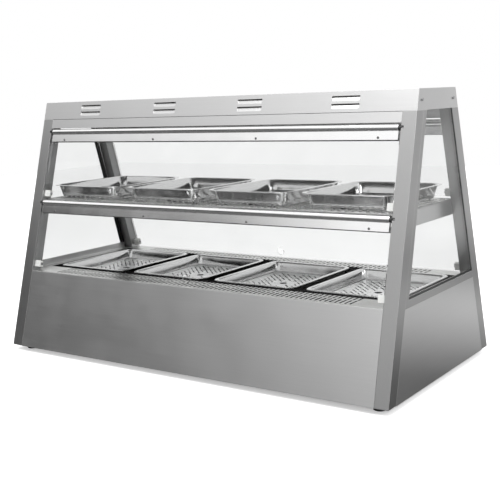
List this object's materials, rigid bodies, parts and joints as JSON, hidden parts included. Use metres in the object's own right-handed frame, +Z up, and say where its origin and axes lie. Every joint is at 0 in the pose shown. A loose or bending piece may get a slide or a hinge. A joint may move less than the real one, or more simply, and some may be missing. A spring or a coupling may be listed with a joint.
{
  "type": "hot food display case",
  "caption": "Two-tier countertop hot food display case with sloped lift-up glass flaps front and rear, glass ends, mesh shelf and lift-out pans.",
  "frame": {"origin": "on the surface the case stands on, at the middle of its length and depth", "axes": "+X along the length, +Y from the customer's side to the server's side, +Z up"},
  "size_m": [1.2644, 0.611, 0.738],
  "materials": {
    "brushed_stainless": "fine long-grain brushed",
    "satin_stainless": "satin mill",
    "darkened_steel": "heat-darkened sheet",
    "bright_stainless": "bright drawn tube",
    "pan_stainless": "bright annealed pressing",
    "clear_glass": "clear toughened",
    "white_nylon": "moulded",
    "zinc_steel": "zinc plated",
    "heater_sheath": "dark oxidised sheath",
    "black_rubber": "moulded",
    "black_plastic": "moulded",
    "amber_lens": "clear tinted",
    "pale_ceramic": "moulded"
  },
  "bodies": {
    "case": {"front_base_panel": "brushed_stainless", "rear_base_panel": "brushed_stainless", "right_end_panel": "brushed_stainless", "left_end_panel": "brushed_stainless", "bottom_plate": "brushed_stainless", "front_left_post": "brushed_stainless", "front_right_post": "brushed_stainless", "rear_left_post": "brushed_stainless", "rear_right_post": "brushed_stainless", "canopy_cover": "brushed_stainless", "front_fascia": "brushed_stainless", "rear_fascia": "brushed_stainless", "canopy_ceiling": "brushed_stainless", "right_end_trim": "brushed_stainless", "left_end_trim": "brushed_stainless", "end_glass_beads": "brushed_stainless", "shelf_frame": "brushed_stainless", "shelf_brackets": "brushed_stainless", "deck": "satin_stainless", "shelf_mesh": "satin_stainless", "heat_tray": "darkened_steel", "right_end_glass": "clear_glass", "left_end_glass": "clear_glass", "stop_blocks": "white_nylon", "case_screws": "zinc_steel", "pivot_pins": "zinc_steel", "element_clips": "zinc_steel", "base_elements": "heater_sheath", "canopy_element": "heater_sheath", "feet": "black_rubber", "end_glass_gaskets": "black_rubber", "pivot_bushes": "black_plastic", "thermostat": "black_plastic", "switch_body": "black_plastic", "cable_gland": "black_plastic", "pilot_lamp": "amber_lens", "terminal_block": "pale_ceramic"},
    "front_upper_flap": {"front_upper_hinge_rail": "bright_stainless", "front_upper_glass": "clear_glass"},
    "front_lower_flap": {"front_lower_hinge_rail": "bright_stainless", "front_lower_glass": "clear_glass"},
    "rear_upper_flap": {"rear_upper_hinge_rail": "bright_stainless", "rear_upper_glass": "clear_glass"},
    "rear_lower_flap": {"rear_lower_hinge_rail": "bright_stainless", "rear_lower_glass": "clear_glass"},
    "upper_pan_1": {"upper_pan_1": "pan_stainless"},
    "upper_pan_2": {"upper_pan_2": "pan_stainless"},
    "upper_pan_3": {"upper_pan_3": "pan_stainless"},
    "upper_pan_4": {"upper_pan_4": "pan_stainless"},
    "lower_pan_1": {"lower_pan_1": "pan_stainless"},
    "lower_pan_2": {"lower_pan_2": "pan_stainless"},
    "lower_pan_3": {"lower_pan_3": "pan_stainless"},
    "lower_pan_4": {"lower_pan_4": "pan_stainless"},
    "drain_plate_1": {"drain_plate_1": "pan_stainless"},
    "drain_plate_2": {"drain_plate_2": "pan_stainless"},
    "drain_plate_3": {"drain_plate_3": "pan_stainless"},
    "drain_plate_4": {"drain_plate_4": "pan_stainless"},
    "thermostat_knob": {"thermostat_knob": "black_plastic"},
    "power_rocker": {"power_rocker": "black_plastic"}
  },
  "joints": [
    {"name": "front_upper_flap_hinge", "type": "hinge", "parent": "case", "child": "front_upper_flap", "pos_m": [0, -0.12504, 0.64703], "axis": [-1, 0, 0], "range_deg": [0, 100]},
    {"name": "front_lower_flap_hinge", "type": "hinge", "parent": "case", "child": "front_lower_flap", "pos_m": [0, -0.18301, 0.43453], "axis": [-1, 0, 0], "range_deg": [0, 100]},
    {"name": "rear_upper_flap_hinge", "type": "hinge", "parent": "case", "child": "rear_upper_flap", "pos_m": [0, 0.12504, 0.64703], "axis": [1, 0, 0], "range_deg": [0, 100]},
    {"name": "rear_lower_flap_hinge", "type": "hinge", "parent": "case", "child": "rear_lower_flap", "pos_m": [0, 0.18301, 0.43453], "axis": [1, 0, 0], "range_deg": [0, 100]},
    {"name": "upper_pan_1_lift", "type": "slide", "parent": "case", "child": "upper_pan_1", "axis": [0, 0, 1], "range_m": [0, 0.009]},
    {"name": "upper_pan_2_lift", "type": "slide", "parent": "case", "child": "upper_pan_2", "axis": [0, 0, 1], "range_m": [0, 0.009]},
    {"name": "upper_pan_3_lift", "type": "slide", "parent": "case", "child": "upper_pan_3", "axis": [0, 0, 1], "range_m": [0, 0.009]},
    {"name": "upper_pan_4_lift", "type": "slide", "parent": "case", "child": "upper_pan_4", "axis": [0, 0, 1], "range_m": [0, 0.009]},
    {"name": "lower_pan_1_lift", "type": "slide", "parent": "case", "child": "lower_pan_1", "axis": [0, 0, 1], "range_m": [0, 0.15]},
    {"name": "lower_pan_2_lift", "type": "slide", "parent": "case", "child": "lower_pan_2", "axis": [0, 0, 1], "range_m": [0, 0.15]},
    {"name": "lower_pan_3_lift", "type": "slide", "parent": "case", "child": "lower_pan_3", "axis": [0, 0, 1], "range_m": [0, 0.15]},
    {"name": "lower_pan_4_lift", "type": "slide", "parent": "case", "child": "lower_pan_4", "axis": [0, 0, 1], "range_m": [0, 0.15]},
    {"name": "drain_plate_1_lift", "type": "slide", "parent": "lower_pan_1", "child": "drain_plate_1", "axis": [0, 0, 1], "range_m": [0, 0.04]},
    {"name": "drain_plate_2_lift", "type": "slide", "parent": "lower_pan_2", "child": "drain_plate_2", "axis": [0, 0, 1], "range_m": [0, 0.04]},
    {"name": "drain_plate_3_lift", "type": "slide", "parent": "lower_pan_3", "child": "drain_plate_3", "axis": [0, 0, 1], "range_m": [0, 0.04]},
    {"name": "drain_plate_4_lift", "type": "slide", "parent": "lower_pan_4", "child": "drain_plate_4", "axis": [0, 0, 1], "range_m": [0, 0.04]},
    {"name": "thermostat_turn", "type": "hinge", "parent": "case", "child": "thermostat_knob", "pos_m": [-0.442, 0.26704, 0.155], "axis": [0, 0.9647, 0.2632], "range_deg": [0, 270]},
    {"name": "rocker_tilt", "type": "hinge", "parent": "case", "child": "power_rocker", "pos_m": [-0.376, 0.26511, 0.15447], "axis": [0, -0.2632, 0.9647], "range_deg": [0, 13]}
  ]
}
